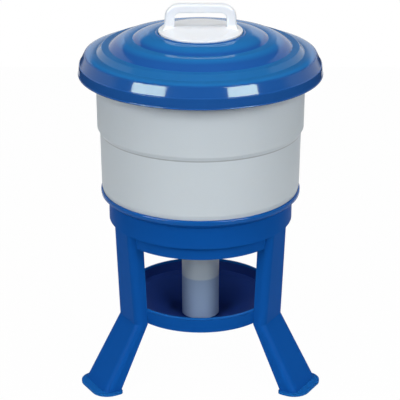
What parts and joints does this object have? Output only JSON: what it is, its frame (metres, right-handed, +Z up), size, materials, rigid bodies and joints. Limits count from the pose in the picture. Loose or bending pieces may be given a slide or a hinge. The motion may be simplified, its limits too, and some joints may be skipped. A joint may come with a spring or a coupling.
{
  "type": "poultry drinker",
  "caption": "Top-filled poultry drinker: domed lid with a screw cap and handle over a stepped tank, on a legged stand with a ring, a down tube and a round drinking bowl.",
  "frame": {"origin": "on the ground at the drinker's vertical axis, level with the soles of the three feet", "axes": "+Z up along the drinker's axis, front towards -Y between the two front legs, third leg towards +Y, cap handle along X"},
  "size_m": [0.4362, 0.4514, 0.6896],
  "materials": {
    "stand_blue": "smooth blue moulded plastic with a soft gloss",
    "bowl_blue": "smooth dark blue moulded plastic",
    "lid_blue": "glossy blue moulded plastic",
    "tank_grey": "slightly translucent pale grey plastic, satin",
    "tube_grey": "grey plastic, satin",
    "cap_white": "white, slightly translucent plastic",
    "inner_plastic": "plain natural plastic",
    "rubber": "black rubber",
    "spring_steel": "drawn stainless wire"
  },
  "bodies": {
    "drinker": {"tank": "tank_grey", "stand": "stand_blue", "drinking_bowl": "bowl_blue", "down_tube": "tube_grey", "tube_nut": "inner_plastic", "tube_gasket": "rubber", "lid": "lid_blue", "lid_gasket": "rubber", "valve_guide": "inner_plastic"},
    "cap_seal": {"cap_gasket": "rubber"},
    "cap": {"fill_cap": "cap_white"},
    "valve": {"valve_rod": "inner_plastic", "valve_disc": "rubber", "valve_spring": "spring_steel"}
  },
  "joints": [
    {"name": "cap_lift", "type": "slide", "parent": "drinker", "child": "cap_seal", "axis": [0, 0, 1], "range_m": [0, 0.012]},
    {"name": "cap_turn", "type": "hinge", "parent": "cap_seal", "child": "cap", "pos_m": [0, 0, 0.64], "axis": [0, 0, 1], "range_deg": [0, 540]},
    {"name": "valve_rise", "type": "slide", "parent": "drinker", "child": "valve", "axis": [0, 0, 1], "range_m": [0, 0.012], "deforming": ["valve_spring"]}
  ],
  "couplings": [
    {"joint": "cap_lift", "follows": "cap_turn", "m_per_rad": 0.001273},
    {"joint": "valve_rise", "follows": "cap_turn", "m_per_rad": 0.001273}
  ]
}
